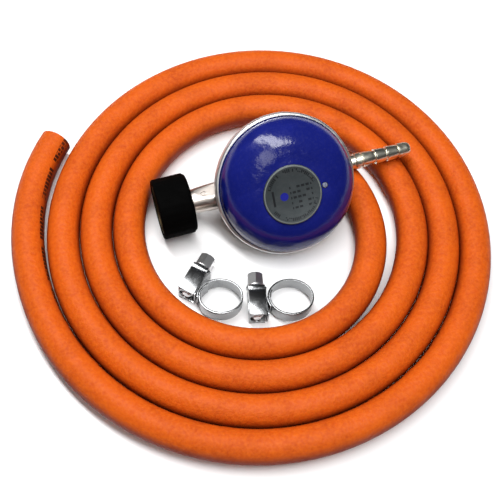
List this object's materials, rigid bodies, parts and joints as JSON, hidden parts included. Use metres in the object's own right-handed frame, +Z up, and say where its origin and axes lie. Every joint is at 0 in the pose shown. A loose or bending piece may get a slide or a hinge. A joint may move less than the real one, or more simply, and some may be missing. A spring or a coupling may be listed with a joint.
{
  "type": "gas regulator hose kit",
  "caption": "Low-pressure gas regulator with a domed cover, hand nut and barbed outlet, inside a flat coil of rubber gas hose with two worm-drive hose clips.",
  "frame": {"origin": "middle of the regulator and clips on the ground plane, inside the coil; the hose coil lies round it", "axes": "+X along the regulator from its inlet nut to its hose nozzle, +Z up from the ground the kit lies on"},
  "size_m": [0.2274, 0.2201, 0.0532],
  "materials": {
    "zinc_cast": "die-cast zinc, as cast",
    "zinc_plate": "zinc plated",
    "rolled_steel": "bright rolled steel",
    "clip_steel": "bright zinc-plated strip",
    "inner_steel": "plain steel",
    "brass": "machined",
    "blue_paint": "gloss deep blue enamel",
    "label_foil": "satin grey printed foil",
    "black_plastic": "moulded, near-matt black",
    "nylon": "natural nylon",
    "black_rubber": "nitrile rubber",
    "orange_rubber": "matt extruded rubber"
  },
  "bodies": {
    "hose_body": {"hose": "orange_rubber"},
    "regulator": {"regulator_body": "zinc_cast", "top_cover": "blue_paint", "crimp_ring": "rolled_steel", "label_disc": "label_foil", "breather_plug": "nylon", "diaphragm_bead": "black_rubber", "spring_adjuster": "nylon", "inlet_jet": "brass", "lever_pin": "inner_steel", "inlet_nipple": "brass", "sealing_washer": "black_rubber", "inlet_filter": "brass", "outlet_nozzle": "zinc_plate"},
    "nut": {"hand_nut": "black_plastic", "nut_insert": "brass"},
    "diaphragm_unit": {"diaphragm": "black_rubber", "diaphragm_plate": "inner_steel", "diaphragm_post": "brass", "post_nut": "zinc_plate", "main_spring": "inner_steel"},
    "lever": {"valve_lever": "zinc_plate", "valve_pad": "black_rubber"},
    "left_clip": {"left_clip_band": "clip_steel", "left_clip_saddle": "clip_steel", "left_clip_housing": "clip_steel"},
    "left_screw": {"left_clip_screw": "zinc_plate"},
    "right_clip": {"right_clip_band": "clip_steel", "right_clip_saddle": "clip_steel", "right_clip_housing": "clip_steel"},
    "right_screw": {"right_clip_screw": "zinc_plate"}
  },
  "joints": [
    {"name": "regulator_lift", "type": "slide", "parent": "hose_body", "child": "regulator", "axis": [0, 0, 1], "range_m": [0, 0.08]},
    {"name": "nut_turn", "type": "hinge", "parent": "regulator", "child": "nut", "pos_m": [-0.05514, 0.02382, 0.0152], "axis": [0.9989, 0, 0.0471], "continuous": true},
    {"name": "diaphragm_stroke", "type": "slide", "parent": "regulator", "child": "diaphragm_unit", "axis": [-0.0337, -0.6997, 0.7137], "range_m": [-0.0005, 0.0005], "stiffness_N_per_m": 2000},
    {"name": "lever_swing", "type": "hinge", "parent": "regulator", "child": "lever", "pos_m": [-0.01485, 0.02662, 0.01424], "axis": [-0.033, 0.7145, 0.6989], "range_deg": [-2.6, 2.6]},
    {"name": "left_clip_lift", "type": "slide", "parent": "hose_body", "child": "left_clip", "axis": [0, 0, 1], "range_m": [0, 0.06]},
    {"name": "left_screw_turn", "type": "hinge", "parent": "left_clip", "child": "left_screw", "pos_m": [-0.05582, -0.01249, 0.005], "axis": [-0.6959, -0.7181, 0], "continuous": true},
    {"name": "right_clip_lift", "type": "slide", "parent": "hose_body", "child": "right_clip", "axis": [0, 0, 1], "range_m": [0, 0.06]},
    {"name": "right_screw_turn", "type": "hinge", "parent": "right_clip", "child": "right_screw", "pos_m": [-0.03077, -0.03072, 0.005], "axis": [-0.2419, -0.9703, 0], "continuous": true}
  ],
  "couplings": [
    {"joint": "lever_swing", "follows": "diaphragm_stroke", "rad_per_m": -84.746}
  ]
}
